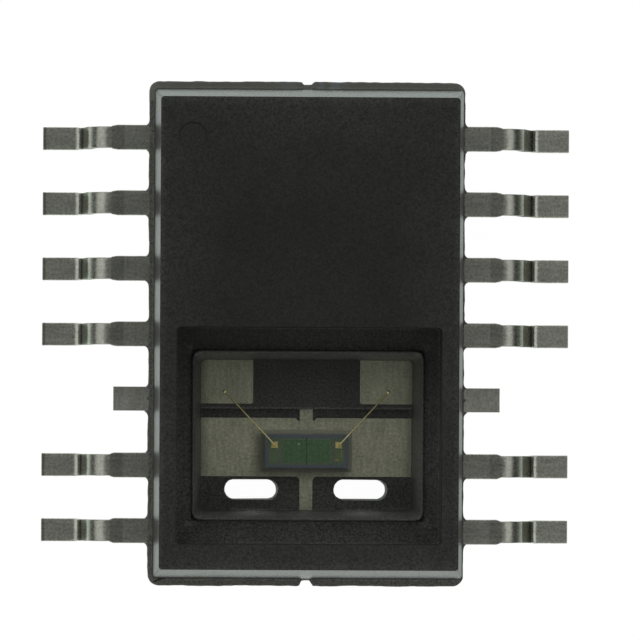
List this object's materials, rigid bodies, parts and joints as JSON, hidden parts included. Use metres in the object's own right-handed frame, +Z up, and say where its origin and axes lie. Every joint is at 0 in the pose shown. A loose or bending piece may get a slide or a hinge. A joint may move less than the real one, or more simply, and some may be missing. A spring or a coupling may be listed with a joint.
{
  "type": "soic sensor chip",
  "caption": "Surface-mount sensor chip in a small-outline package: black moulded body, gull-wing leads, stepped open cavity with bond pads, a small sensor die and two floor slots.",
  "frame": {"origin": "middle of the package on the seating plane, which is the plane of the feet", "axes": "+X across the package towards leads 8 to 14, +Y along it towards leads 1 and 14, +Z up from the board"},
  "size_m": [0.0102, 0.0098, 0.0031],
  "materials": {
    "moulding": "matte",
    "lead_plating": "satin",
    "leadframe_plating": "matte",
    "sensor_silicon": "gloss",
    "chip_silicon": "gloss",
    "adhesive": "satin",
    "gold_wire": "polished"
  },
  "bodies": {
    "root": {"package_body": "moulding", "die_paddle": "leadframe_plating", "sensor_die": "sensor_silicon", "sensor_die_attach": "adhesive", "signal_chip": "chip_silicon", "signal_chip_attach": "adhesive", "sensor_wire_left": "gold_wire", "sensor_wire_right": "gold_wire", "lead_05_cut": "lead_plating", "lead_10_cut": "lead_plating", "lead_01": "lead_plating", "lead_02": "lead_plating", "lead_03": "lead_plating", "lead_04": "lead_plating", "lead_06": "lead_plating", "lead_07": "lead_plating", "lead_08": "lead_plating", "lead_09": "lead_plating", "lead_11": "lead_plating", "lead_12": "lead_plating", "lead_13": "lead_plating", "lead_14": "lead_plating", "bond_wire_01": "gold_wire", "bond_wire_02": "gold_wire", "bond_wire_03": "gold_wire", "bond_wire_04": "gold_wire", "bond_wire_05": "gold_wire", "bond_wire_10": "gold_wire", "bond_wire_11": "gold_wire", "bond_wire_12": "gold_wire", "bond_wire_13": "gold_wire", "bond_wire_14": "gold_wire"}
  },
  "joints": []
}
